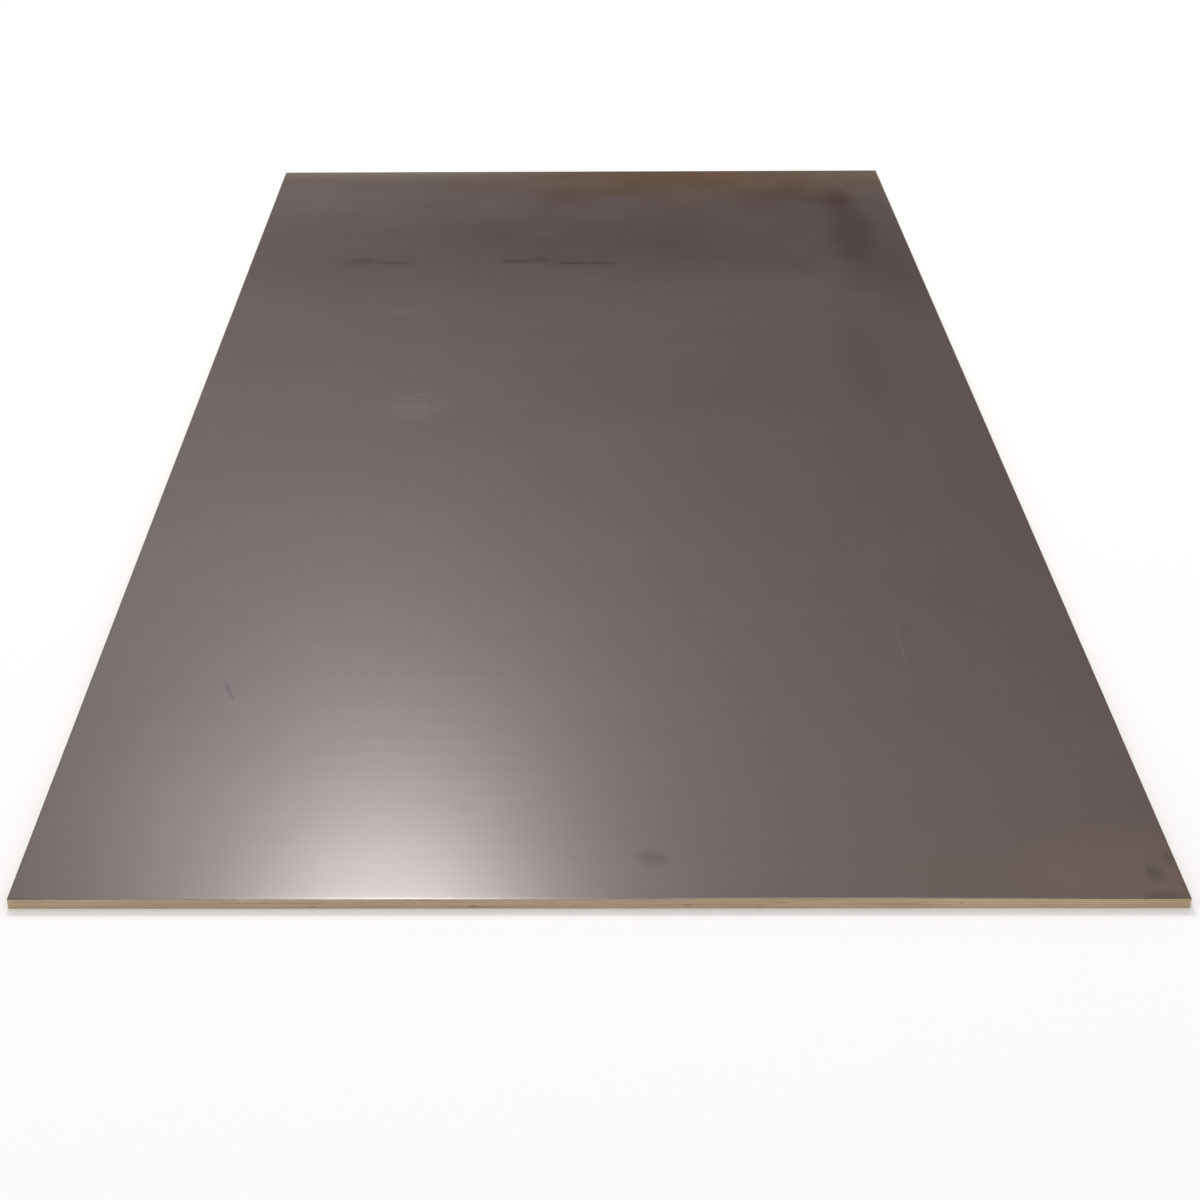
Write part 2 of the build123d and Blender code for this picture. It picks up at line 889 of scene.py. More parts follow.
@dataclass(frozen=True)
class GlueFinish:
    """Dark cured glue between two veneers."""

    name: str = "glue_line"
    dark: Colour = (0.060, 0.032, 0.018)
    pale: Colour = (0.200, 0.130, 0.075)
    streaks_along: float = 90.0
    streaks_across: float = 700.0
    roughness: float = 0.6
    pale_roughness: float = 0.15
    relief: float = 0.05 * MM

    def make(self, effects: Effects) -> bpy.types.Material:
        """Builds the glue line's material.

        Args:
            effects: The shared node groups.

        Returns:
            The finished material.
        """
        board = MaterialBoard(self.name)
        place = board.edge_place()
        fibre = board.use(
            effects.fibre, Place=place, Streaks_along=self.streaks_along, Streaks_across=self.streaks_across
        )
        shade = board.ease(fibre.outputs["Shade"], low=0.3, high=0.7)
        colour = board.blend(shade, self.dark, self.pale)
        rough = board.plus_share(self.roughness, shade, self.pale_roughness)
        saw = board.use(effects.saw, Place=place)
        board.finish(colour, rough, saw.outputs["Height"], self.relief)
        return board.material


@dataclass(frozen=True)
class EdgeFinishes:
    """The three materials of a sawn edge."""

    long_grain: bpy.types.Material
    end_grain: bpy.types.Material
    glue: bpy.types.Material


def edge_finishes(effects: Effects) -> EdgeFinishes:
    """Builds the materials that all four sawn edges share.

    Args:
        effects: The shared node groups.

    Returns:
        The three materials.
    """
    long_grain = VeneerFinish(
        name="long_grain_veneer",
        pale=(0.68, 0.515, 0.315),
        dark=(0.51, 0.370, 0.218),
        streak=(0.25, 0.155, 0.080),
        streaks_along=14.0,
        streaks_across=1300.0,
    )
    end_grain = VeneerFinish(
        name="end_grain_veneer",
        pale=(0.53, 0.395, 0.240),
        dark=(0.34, 0.242, 0.140),
        streak=(0.19, 0.115, 0.062),
        streaks_along=900.0,
        streaks_across=1500.0,
        relief=0.2 * MM,
    )
    return EdgeFinishes(long_grain.make(effects), end_grain.make(effects), GlueFinish().make(effects))


def as_piece(name: str, points: np.ndarray, faces: Sequence[Sequence[int]]) -> bpy.types.Object:
    """Makes a smooth-shaded mesh object at the origin.

    Args:
        name: The piece's name.
        points: Its points, one row each.
        faces: Its faces, each a list of point numbers.

    Returns:
        The new object, in the scene.
    """
    mesh = bpy.data.meshes.new(name)
    mesh.from_pydata([tuple(point) for point in points], [], [tuple(face) for face in faces])
    mesh.polygons.foreach_set("use_smooth", [True] * len(mesh.polygons))
    mesh.update()
    piece = bpy.data.objects.new(name, mesh)
    bpy.context.collection.objects.link(piece)
    return piece


def lay_map(piece: bpy.types.Object, name: str, corners: np.ndarray) -> None:
    """Adds a UV map to a piece, with one row for each face corner."""
    layer = piece.data.uv_layers.new(name=name)
    layer.data.foreach_set("uv", np.asarray(corners, np.float32).ravel())


class RimRing(NamedTuple):
    """One ring of points round a filmed face."""

    inset: float
    drop: float
    on_map: float


@dataclass
class FilmFace:
    """One filmed face: a fine ring of points round its rim and a coarse grid inside."""

    name: str
    facing: Facing
    size: SheetSize
    stations: Stations
    finish: FilmFinish
    marks: tuple[Mark, ...] = ()
    wave_count: int = 6
    wave_seed: int = 7
    wave_height: float = 0.03 * MM
    wave_pitch: float = 170 * MM
    wave_pitches: tuple[float, float] = (0.8, 2.6)
    wave_fade: float = 60 * MM
    map_rim: float = 7 * MM
    rings: tuple[RimRing, ...] = (
        RimRing(0.06 * MM, 0.30 * MM, -6.0 * MM),
        RimRing(0.03 * MM, 0.22 * MM, -4.4 * MM),
        RimRing(0.10 * MM, 0.16 * MM, -2.8 * MM),
        RimRing(0.30 * MM, 0.11 * MM, -1.2 * MM),
        RimRing(0.80 * MM, 0.062 * MM, 0.4 * MM),
        RimRing(1.60 * MM, 0.026 * MM, 1.8 * MM),
        RimRing(2.80 * MM, 0.007 * MM, 3.2 * MM),
        RimRing(4.50 * MM, 0.001 * MM, 4.8 * MM),
        RimRing(7.00 * MM, 0.0, 7.0 * MM),
    )
    grid_inset: float = 12 * MM
    chip_reach: float = 5 * MM

    def build(self, effects: Effects) -> bpy.types.Object:
        """Builds the face's mesh and dresses it.

        Args:
            effects: The shared node groups.

        Returns:
            The new piece.
        """
        plan, bake, drops = [], [], []
        for ring in self.rings:
            loop_plan, loop_bake = self._loop(ring)
            plan.append(loop_plan)
            bake.append(loop_bake)
            drops.append(np.full(len(loop_plan), ring.drop))
        around = len(plan[0])
        grid, grid_faces, rim_of_grid = self._grid(first=around * len(self.rings))
        plan.append(grid)
        bake.append(grid)
        drops.append(np.zeros(len(grid)))
        plan, bake, drops = np.concatenate(plan), np.concatenate(bake), np.concatenate(drops)

        level = self.size.thickness - drops - self._wave(plan)
        height = level if self.facing is Facing.UP else self.size.thickness - level
        faces = self._ring_faces(around) + self._joining_faces(around, rim_of_grid) + grid_faces
        if self.facing is Facing.DOWN:
            faces = [face[::-1] for face in faces]
        piece = as_piece(self.name, np.column_stack([plan, height]), faces)
        reach = np.array([self.size.half_width, self.size.half_length]) + self.map_rim
        corner_points = np.fromiter((n for face in faces for n in face), int)
        lay_map(piece, BAKE_MAP, (bake / reach / 2 + 0.5)[corner_points])
        piece.data.materials.append(self.finish.make(effects, self.size, self.marks))
        return piece

    def _loop(self, ring: RimRing) -> tuple[np.ndarray, np.ndarray]:
        """Places one ring of points, broken back where the rim is chipped.

        Args:
            ring: Where the ring lies.

        Returns:
            The ring's points in plan, and the same ring on the bake's map.
        """
        plan, bake = [], []
        for side in Side:
            along = self.stations.along(side)
            broken = rim_chips(self.facing, side).depth_at(along)[:-1]
            run = along[:-1] / self.size.half_side(side)
            inset = ring.inset + broken * max(1 - ring.inset / self.chip_reach, 0.0)
            plan.append(np.column_stack(self.size.place(side, run, inset)))
            bake.append(np.column_stack(self.size.place(side, run, np.full_like(run, ring.on_map))))
        return np.concatenate(plan), np.concatenate(bake)

    def _grid(self, first: int) -> tuple[np.ndarray, list[list[int]], list[int]]:
        """Lays the coarse grid inside the rings.

        Args:
            first: The number of the grid's first point in the whole mesh.

        Returns:
            The grid's points, its faces, and the points of its rim going anticlockwise.
        """
        inner_x, inner_y = self.size.half_width - self.grid_inset, self.size.half_length - self.grid_inset
        columns = np.linspace(-inner_x, inner_x, self.stations.cells(Side.FRONT) + 1)
        rows = np.linspace(-inner_y, inner_y, self.stations.cells(Side.RIGHT) + 1)
        x, y = np.meshgrid(columns, rows)
        number = first + np.arange(x.size).reshape(x.shape)
        quads = np.stack([number[:-1, :-1], number[:-1, 1:], number[1:, 1:], number[1:, :-1]], -1)
        rim = [*number[0, :-1], *number[:-1, -1], *number[-1, :0:-1], *number[:0:-1, 0]]
        points = np.column_stack([x.ravel(), y.ravel()])
        return points, quads.reshape(-1, 4).tolist(), [int(n) for n in rim]

    def _ring_faces(self, around: int) -> list[list[int]]:
        """Makes the faces between neighbouring rings.

        Args:
            around: How many points a ring has.

        Returns:
            The faces, ring by ring going in.
        """
        here = np.arange(around)
        following = (here + 1) % around
        faces = []
        for ring in range(len(self.rings) - 1):
            outer, inner = ring * around, (ring + 1) * around
            strip = np.stack([outer + here, outer + following, inner + following, inner + here], -1)
            faces += strip.tolist()
        return faces

    def _joining_faces(self, around: int, rim: list[int]) -> list[list[int]]:
        """Makes the faces between the innermost ring and the rim of the coarse grid.

        Args:
            around: How many points a ring has.
            rim: The points of the grid's rim, going anticlockwise.

        Returns:
            One face for each coarse cell on the rim.
        """
        first = (len(self.rings) - 1) * around
        coarse, passed = [], 0
        for side in Side:
            coarse += [passed + int(n) for n in self.stations.coarse(side)[:-1]]
            passed += len(self.stations.along(side)) - 1
        coarse.append(passed)
        faces = []
        for cell in range(len(rim)):
            fine = [first + n % around for n in range(coarse[cell], coarse[cell + 1] + 1)]
            faces.append([*fine, rim[(cell + 1) % len(rim)], rim[cell]])
        return faces

    def _wave(self, plan: np.ndarray) -> np.ndarray:
        """Draws the face's slight waviness.

        Args:
            plan: The face's points in plan.

        Returns:
            How far below flat each point lies.
        """
        rng = np.random.default_rng(self.wave_seed + self.facing.value)
        depth = np.zeros(len(plan))
        for _ in range(self.wave_count):
            heading = rng.uniform(0, math.pi)
            pitch = self.wave_pitch * rng.uniform(*self.wave_pitches)
            run = plan @ np.array([math.cos(heading), math.sin(heading)])
            depth += np.sin(2 * math.pi * run / pitch + rng.uniform(0, 2 * math.pi))
        depth = (depth - depth.min()) / np.ptp(depth)
        away = ([self.size.half_width, self.size.half_length] - np.abs(plan)).min(axis=1)
        return self.wave_height * depth * np.clip(away / self.wave_fade, 0, 1)


class EdgeRow(NamedTuple):
    """One row of points along a sawn edge."""

    veneer: int
    share: float
    layer: Layer


class CoreGap(NamedTuple):
    """A gap in one veneer that the saw has opened."""

    along: float
    veneer: int
    half_length: float
    depth: float


class Ripple(NamedTuple):
    """A smooth random line: how far it swings, and the distance between its bends."""

    swing: float
    pitch: float

    def at(self, places: np.ndarray, rng: np.random.Generator) -> np.ndarray:
        """The line's height at each place."""
        return self.swing * wander(places, self.pitch, rng)


@dataclass
class SawnEdge:
    """One sawn side, with each veneer, glue line and core gap in relief."""

    name: str
    side: Side
    size: SheetSize
    stations: Stations
    finishes: EdgeFinishes
    known_gaps: tuple[CoreGap, ...] = ()
    seed: int = 100
    gap_spacing: float = 190 * MM
    long_gap_halves: tuple[float, float] = (3.0 * MM, 9.0 * MM)
    end_gap_halves: tuple[float, float] = (0.9 * MM, 2.2 * MM)
    gap_depths: tuple[float, float] = (0.5 * MM, 1.6 * MM)
    gap_reach: float = 0.97
    gap_rim_share: float = 0.45
    face_inset: float = 0.08 * MM
    least_inset: float = 0.01 * MM
    veneer_step: Ripple = Ripple(0.03 * MM, 160 * MM)
    glue_depth: float = 0.11 * MM
    glue_ripple: Ripple = Ripple(0.4, 12 * MM)
    line_drift: float = 0.11 * MM
    line_bends: tuple[Ripple, Ripple] = (Ripple(1.0, 90 * MM), Ripple(0.4, 18 * MM))
    long_grain_relief: Ripple = Ripple(0.025 * MM, 22 * MM)
    end_grain_relief: Ripple = Ripple(0.06 * MM, 3.2 * MM)
    corner_fade: float = 6 * MM
    veneer_shares: tuple[float, float, float] = (0.045, 0.5, 0.955)
    sides_apart_on_map: float = 3.0
    glue_on_map: float = 0.42
    map_folds: int = 16
    map_margin: float = 0.05

    def build(self) -> bpy.types.Object:
        """Builds the edge's mesh.

        Returns:
            The new piece.
        """
        rng = np.random.default_rng(self.seed + self.side.value)
        along = self.stations.along(self.side)
        fade = np.clip((along.max() - np.abs(along)) / self.corner_fade, 0, 1)
        rows = self._rows()
        heights = self._heights(rows, along, fade, rng)
        insets = self._insets(rows, along, fade, rng)
        run = np.broadcast_to(along / self.size.half_side(self.side), heights.shape)
        x, y = self.size.place(self.side, run, insets)
        number = np.arange(heights.size).reshape(heights.shape)
        quads = np.stack([number[:-1, :-1], number[:-1, 1:], number[1:, 1:], number[1:, :-1]], -1)
        points = np.column_stack([x.ravel(), y.ravel(), heights.ravel()])
        piece = as_piece(self.name, points, quads.reshape(-1, 4).tolist())

        start = self.side.value * self.sides_apart_on_map
        place = np.stack([np.broadcast_to(along + start, heights.shape), heights], -1).reshape(-1, 2)
        lay_map(piece, EDGE_MAP, place[quads.reshape(-1)])
        lay_map(piece, BAKE_MAP, self._folded(rows, quads.shape[1]))
        self._dress(piece, rows, quads.shape[1])
        return piece

    def _rows(self) -> list[EdgeRow]:
        """Lists the rows of points: three to a veneer, and one in each glue line.

        Returns:
            The rows, from the underside up.
        """
        rows = []
        for veneer in range(self.size.veneers):
            rows += [EdgeRow(veneer, share, Layer.VENEER) for share in self.veneer_shares]
            if veneer + 1 < self.size.veneers:
                rows.append(EdgeRow(veneer, 1.0, Layer.GLUE))
        return rows

    def _heights(
        self, rows: Sequence[EdgeRow], along: np.ndarray, fade: np.ndarray, rng: np.random.Generator
    ) -> np.ndarray:
        """Finds the height of every point, with glue lines that drift as real ones do.

        Args:
            rows: The rows of points.
            along: Distances of the columns from the middle of the side.
            fade: How much of the drift each column has.
            rng: Seeded source of the drift.

        Returns:
            One row of heights for each row of points.
        """
        lines = []
        for line in range(self.size.veneers + 1):
            level = self.size.film + line * self.size.veneer
            outer = line in (0, self.size.veneers)
            drift = sum(bend.at(along, rng) for bend in self.line_bends)
            lines.append(level + (0 if outer else self.line_drift) * drift * fade)
        return np.array([lines[r.veneer] * (1 - r.share) + lines[r.veneer + 1] * r.share for r in rows])

    def _insets(
        self, rows: Sequence[EdgeRow], along: np.ndarray, fade: np.ndarray, rng: np.random.Generator
    ) -> np.ndarray:
        """Finds how far in from the outer face every point lies.

        Args:
            rows: The rows of points.
            along: Distances of the columns from the middle of the side.
            fade: How much of the relief each column has.
            rng: Seeded source of the relief.

        Returns:
            One row of insets for each row of points.
        """
        step = [self.veneer_step.at(along, rng) for _ in range(self.size.veneers)]
        insets = []
        for row in rows:
            if row.layer is Layer.GLUE:
                relief = self.glue_depth * (1 + self.glue_ripple.at(along, rng))
            elif self._shows_long_grain(row.veneer):
                relief = self.long_grain_relief.at(along, rng)
            else:
                relief = self.end_grain_relief.at(along, rng)
            insets.append(self.face_inset + (relief + step[row.veneer]) * fade)
        insets = np.maximum(np.array(insets), self.least_inset)
        for gap in (*self.known_gaps, *self._more_gaps(rng)):
            self._open_gap(insets, rows, along, gap)
        insets[0] += rim_chips(Facing.DOWN, self.side).depth_at(along)
        insets[-1] += rim_chips(Facing.UP, self.side).depth_at(along)
        return insets

    def _more_gaps(self, rng: np.random.Generator) -> list[CoreGap]:
        """Draws gaps in the inner veneers, where the photograph doesn't show which have them.

        Args:
            rng: Seeded source of the gaps.

        Returns:
            The gaps.
        """
        half = self.size.half_side(self.side)
        gaps = []
        for _ in range(int(2 * half / self.gap_spacing)):
            veneer = int(rng.integers(1, self.size.veneers - 1))
            halves = self.long_gap_halves if self._shows_long_grain(veneer) else self.end_gap_halves
            half_length = rng.uniform(*halves)
            along = rng.uniform(-half, half) * self.gap_reach
            gaps.append(CoreGap(along, veneer, half_length, rng.uniform(*self.gap_depths)))
        return gaps

    def _open_gap(self, insets: np.ndarray, rows: Sequence[EdgeRow], along: np.ndarray, gap: CoreGap) -> None:
        """Pushes the points of one veneer in where it has a gap.

        Args:
            insets: The insets that the gap deepens.
            rows: The rows of points.
            along: Distances of the columns from the middle of the side.
            gap: The gap.
        """
        within = np.clip(1 - ((along - gap.along) / gap.half_length) ** 2, 0, 1)
        _, middle, _ = self.veneer_shares
        for number, row in enumerate(rows):
            if row.layer is Layer.VENEER and row.veneer == gap.veneer:
                share = 1.0 if row.share == middle else self.gap_rim_share
                insets[number] += gap.depth * share * np.sqrt(within)

    def _shows_long_grain(self, veneer: int) -> bool:
        """True where a veneer's grain runs along this side, as the face veneers' does on a short one."""
        return (veneer % 2 == 0) == self.side.runs_across()

    def _folded(self, rows: Sequence[EdgeRow], cells: int) -> np.ndarray:
        """Folds the long thin edge into rows on the bake's map, with room for each glue line.

        Args:
            rows: The rows of points.
            cells: How many faces lie along the edge.

        Returns:
            The map's place for each corner of each face.
        """
        room = [
            self.glue_on_map if Layer.GLUE in (low.layer, high.layer) else 1.0
            for low, high in zip(rows, rows[1:])
        ]
        up = np.concatenate([[0.0], np.cumsum(room)]) / sum(room)
        up = self.map_margin + (1 - 2 * self.map_margin) * up
        per_fold = math.ceil(cells / self.map_folds)
        column = np.arange(cells)
        fold, left = column // per_fold, column % per_fold / per_fold
        right = left + 1 / per_fold
        corners = np.empty((len(rows) - 1, cells, 4, 2))
        corners[:, :, (0, 3), 0] = left[None, :, None]
        corners[:, :, (1, 2), 0] = right[None, :, None]
        corners[:, :, (0, 1), 1] = up[:-1, None, None]
        corners[:, :, (2, 3), 1] = up[1:, None, None]
        corners[..., 1] = (corners[..., 1] + fold[None, :, None]) / self.map_folds
        return corners.reshape(-1, 2)

    def _dress(self, piece: bpy.types.Object, rows: Sequence[EdgeRow], cells: int) -> None:
        """Gives each strip of faces its veneer's or glue line's material.

        Args:
            piece: The edge.
            rows: The rows of points.
            cells: How many faces lie along the edge.
        """
        materials = [self.finishes.long_grain, self.finishes.end_grain, self.finishes.glue]
        for material in materials:
            piece.data.materials.append(material)
        strips = [materials.index(self._strip_finish(low, high)) for low, high in zip(rows, rows[1:])]
        piece.data.polygons.foreach_set("material_index", np.repeat(strips, cells).astype(np.int32))

    def _strip_finish(self, low: EdgeRow, high: EdgeRow) -> bpy.types.Material:
        """Picks the finish of the strip of faces between two rows of points.

        Args:
            low: The row below the strip.
            high: The row above it.

        Returns:
            The strip's material.
        """
        if Layer.GLUE in (low.layer, high.layer):
            return self.finishes.glue
        return self.finishes.long_grain if self._shows_long_grain(low.veneer) else self.finishes.end_grain


TOP_MARKS = (
    # Amber band along the far end of the top film: painted warm reflection of something beyond the sheet.
    Mark(MarkKind.RESIN_BLEED, (0.90, 2.50), (0.82, 0.300), 0.90, Outline(0.85, 0.30, Torn.BROAD)),
    Mark(MarkKind.RESIN_BLEED, (0.86, 2.50), (0.74, 0.085), 0.85, Outline(0.90, 0.35, Torn.BROAD)),
    Mark(MarkKind.RESIN_BLEED, (0.10, 2.50), (0.60, 0.100), 0.60, Outline(0.95, 0.4, Torn.BROAD)),
    Mark(MarkKind.RESIN_BLEED, (0.90, -0.05), (0.80, 0.420), 0.16, Outline(0.98, 0.2, Torn.BROAD)),
    Mark(MarkKind.RESIN_BLEED, (1.20, 0.02), (0.22, 0.170), 0.42, Outline(0.98, 0.3, Torn.BROAD)),
    # Dark streaks along a veneer joint near the far end: dark resin, with a painted dark reflection of the
    # ridge the joint raises, which the film's mesh does not have.
    Mark(MarkKind.RESIN_STREAK, (0.205, 1.950), (0.052, 0.026), 0.42, Outline(0.8, 1.0)),
    Mark(MarkKind.RESIN_STREAK, (0.272, 1.942), (0.062, 0.014), 0.44, Outline(0.8, 1.0)),
    Mark(MarkKind.RESIN_STREAK, (0.222, 1.970), (0.014, 0.024), 0.30, Outline(0.9, 0.7)),
    Mark(MarkKind.RESIN_STREAK, (0.298, 1.968), (0.013, 0.024), 0.30, Outline(0.9, 0.7)),
    Mark(MarkKind.RESIN_STREAK, (0.500, 1.950), (0.052, 0.018), 0.46, Outline(0.8, 1.0)),
    Mark(MarkKind.RESIN_STREAK, (0.545, 1.956), (0.030, 0.030), 0.42, Outline(0.8, 0.9)),
    Mark(MarkKind.RESIN_STREAK, (0.600, 1.938), (0.046, 0.012), 0.60, Outline(0.8, 0.9)),
    Mark(MarkKind.RESIN_STREAK, (0.655, 1.937), (0.056, 0.009), 0.58, Outline(0.8, 0.9)),
    Mark(MarkKind.RESIN_STREAK, (0.356, 2.006), (0.010, 0.012), 0.36, Outline(0.8, 0.6)),
    Mark(MarkKind.RESIN_STREAK, (0.301, 1.835), (0.010, 0.006), 0.30, Outline(0.8, 0.6)),
    Mark(MarkKind.RESIN_STREAK, (1.140, 1.945), (0.050, 0.016), 0.30, Outline(0.9, 0.9)),
    # Broad faint dark marks over the far part of the top film: partly darker film, partly painted darker
    # reflection of the dim studio beyond the sheet.
    Mark(MarkKind.RESIN_STREAK, (1.150, 2.100), (0.100, 0.460), 0.52, Outline(0.95, 0.3, Torn.BROAD)),
    Mark(MarkKind.RESIN_STREAK, (1.210, 2.000), (0.110, 0.560), 0.34, Outline(0.95, 0.3, Torn.BROAD)),
    Mark(MarkKind.RESIN_STREAK, (0.800, 2.220), (0.950, 0.480), 0.34, Outline(0.98, 0.3, Torn.BROAD)),
    Mark(MarkKind.SMUDGE, (0.620, 2.000), (1.700, 0.340), 0.32, Outline(0.98, 0.1, Torn.BROAD)),
    Mark(MarkKind.SMUDGE, (1.130, 2.250), (0.320, 0.270), 0.46, Outline(0.98, 0.2, Torn.BROAD)),
    Mark(MarkKind.RESIN_STREAK, (1.090, 1.520), (0.060, 0.460), 0.14, Outline(0.95, 0.5, Torn.BROAD)),
    # Broad pale patches at the far left and the front left of the top film: painted sheen where the film
    # reflects more light from the left.
    Mark(MarkKind.SCUFF, (0.150, 2.530), (0.620, 0.110), 0.50, Outline(0.98, 0.2, Torn.BROAD)),
    Mark(MarkKind.SCUFF, (0.130, 0.120), (0.160, 0.400), 0.15, Outline(0.98, 0.3, Torn.BROAD)),
    Mark(MarkKind.SCUFF, (0.350, 1.272), (0.070, 0.080), 0.13, Outline(0.95, 0.6, Torn.MIDDLING)),
    Mark(MarkKind.SCUFF, (0.330, 1.285), (0.036, 0.004), 0.20, Outline(0.8, 0.5)),
    Mark(MarkKind.SCUFF, (0.352, 1.323), (0.038, 0.004), 0.18, Outline(0.8, 0.5)),
    Mark(MarkKind.SCUFF, (0.354, 1.283), (0.010, 0.005), 0.16, Outline(0.8, 0.5)),
    Mark(MarkKind.SCUFF, (0.295, 1.690), (0.040, 0.012), 0.18, Outline(0.9, 0.8, Torn.MIDDLING)),
    Mark(MarkKind.SCUFF, (1.020, 0.540), (0.0015, 0.110), 0.20, Outline(0.9, 0.4)),
    Mark(MarkKind.SCRATCH, (0.174, 0.424), (0.0032, 0.026), 0.65, Outline(0.6, 0.25), turn=0.33),
    Mark(MarkKind.SCRATCH, (0.180, 0.407), (0.0024, 0.018), 0.65, Outline(0.6, 0.25), turn=0.33),
    Mark(MarkKind.SMUDGE, (0.681, 0.073), (0.018, 0.020), 0.75, Outline(0.85, 0.4, Torn.MIDDLING)),
    Mark(MarkKind.SMUDGE, (0.693, 0.071), (0.016, 0.016), 0.75, Outline(0.85, 0.4, Torn.MIDDLING)),
    Mark(MarkKind.SMUDGE, (0.476, 0.170), (0.014, 0.020), 0.40, Outline(0.95, 0.5, Torn.MIDDLING)),
    Mark(MarkKind.STAIN, (1.221, 0.048), (0.015, 0.024), 0.95, Outline(0.8, 0.4, Torn.MIDDLING)),
    Mark(MarkKind.STAIN, (1.243, 0.070), (0.008, 0.018), 0.75, Outline(0.8, 0.4, Torn.MIDDLING)),
    Mark(MarkKind.STAIN, (1.222, 0.004), (0.030, 0.012), 0.85, Outline(0.8, 0.4, Torn.MIDDLING)),
    Mark(MarkKind.RUBBED_RIM, (0.905, 0.0), (0.285, 0.0038), 0.65, Outline(0.5, 0.12, Torn.MIDDLING)),
)

UNDERSIDE_MARKS = (
    Mark(MarkKind.SCUFF, (0.42, 0.90), (0.120, 0.004), 0.25, Outline(0.9, 0.7, Torn.MIDDLING), turn=0.5),
    Mark(MarkKind.SCUFF, (0.85, 1.75), (0.090, 0.003), 0.25, Outline(0.9, 0.7, Torn.MIDDLING), turn=-0.3),
    Mark(MarkKind.SMUDGE, (0.70, 0.45), (0.060, 0.040), 0.35, Outline(0.9, 0.5, Torn.BROAD)),
    Mark(MarkKind.RESIN_STREAK, (0.60, 1.30), (0.160, 0.005), 0.40, Outline(0.9, 1.1, Torn.MIDDLING)),
)

FRONT_GAPS = (
    CoreGap(-0.132, 2, 5.0 * MM, 1.2 * MM),
    CoreGap(-0.025, 3, 5.0 * MM, 1.2 * MM),
    CoreGap(0.000, 7, 3.5 * MM, 0.9 * MM),
    CoreGap(0.094, 3, 6.0 * MM, 1.3 * MM),
    CoreGap(0.194, 5, 5.0 * MM, 1.2 * MM),
)


@dataclass
class DressedSheet:
    """The whole sheet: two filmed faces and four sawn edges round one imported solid."""

    size: SheetSize
    effects: Effects

    def build(self) -> list[bpy.types.Object]:
        """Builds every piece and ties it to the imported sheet.

        Returns:
            The pieces, in the order they were made.
        """
        stations = Stations(self.size)
        finishes = edge_finishes(self.effects)
        pieces = []
        films = (("top_film", Facing.UP, TOP_MARKS), ("underside_film", Facing.DOWN, UNDERSIDE_MARKS))
        for name, facing, marks in films:
            face = FilmFace(name, facing, self.size, stations, FilmFinish(f"{name}_brown"), marks)
            pieces.append(self._tie(face.build(self.effects), "film_faced_plywood"))
        for side in Side:
            gaps = FRONT_GAPS if side is Side.FRONT else ()
            edge = SawnEdge(f"{side.name.lower()}_sawn_edge", side, self.size, stations, finishes, gaps)
            pieces.append(self._tie(edge.build(), "sawn_edge"))
        return pieces

    @staticmethod
    def _tie(piece: bpy.types.Object, slot: str) -> bpy.types.Object:
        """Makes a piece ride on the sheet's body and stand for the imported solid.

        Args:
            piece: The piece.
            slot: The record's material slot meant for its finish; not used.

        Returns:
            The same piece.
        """
        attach(piece, BODY)
        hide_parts(NODE)
        return piece


@dataclass(frozen=True)
class PhotoCamera:
    """The camera, where the photograph was taken from."""

    place: tuple[float, float, float] = (-0.0333, -2.9741, 1.3431)
    tilt_down: float = math.radians(29.333)
    heading: float = math.radians(-0.559)
    roll: float = math.radians(-0.386)
    lens: float = 61.31
    sensor: float = 36.0
    shift_x: float = 0.0431
    far_clip: float = 200.0

    def build(self) -> bpy.types.Object:
        """Makes the camera and gives it to the scene.

        Returns:
            The camera.
        """
        data = bpy.data.cameras.new("photo_camera")
        data.sensor_width = self.sensor
        data.lens = self.lens
        data.shift_x = self.shift_x
        data.clip_end = self.far_clip
        camera = bpy.data.objects.new("photo_camera", data)
        turn = Matrix.Rotation(-self.heading, 4, "Z")
        tilt = Matrix.Rotation(math.pi / 2 - self.tilt_down, 4, "X")
        roll = Matrix.Rotation(self.roll, 4, "Z")
        camera.matrix_world = Matrix.Translation(self.place) @ turn @ tilt @ roll
        bpy.context.collection.objects.link(camera)
        bpy.context.scene.camera = camera
        return camera


